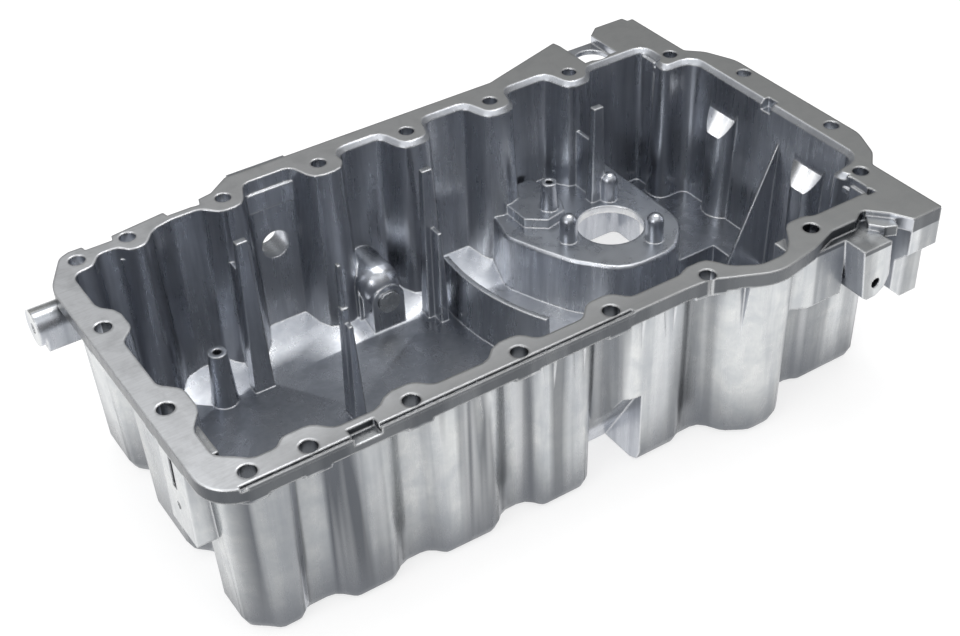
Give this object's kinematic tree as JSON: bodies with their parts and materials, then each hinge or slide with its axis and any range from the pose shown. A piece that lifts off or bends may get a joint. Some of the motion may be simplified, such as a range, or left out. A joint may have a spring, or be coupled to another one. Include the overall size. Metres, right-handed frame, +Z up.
{
  "type": "engine oil pan",
  "caption": "Cast aluminium engine oil pan with a bolting flange, drafted walls, a raised sender seat, baffle pins and a threaded drain boss closed by a hex plug.",
  "frame": {"origin": "middle of the box round the part, on its underside", "axes": "+X along the crankshaft towards the gearbox face, +Y towards the wall with the drain plug, +Z up through the open side"},
  "size_m": [0.438, 0.267, 0.112],
  "materials": {
    "cast_alloy": "die cast, slightly glossy, with machined faces",
    "plug_steel": "zinc plated",
    "seal_ring": "soft, plain"
  },
  "bodies": {
    "root": {"PAN_CASTING": "cast_alloy", "DRAIN_PLUG": "plug_steel", "PLUG_WASHER": "seal_ring"}
  },
  "joints": []
}
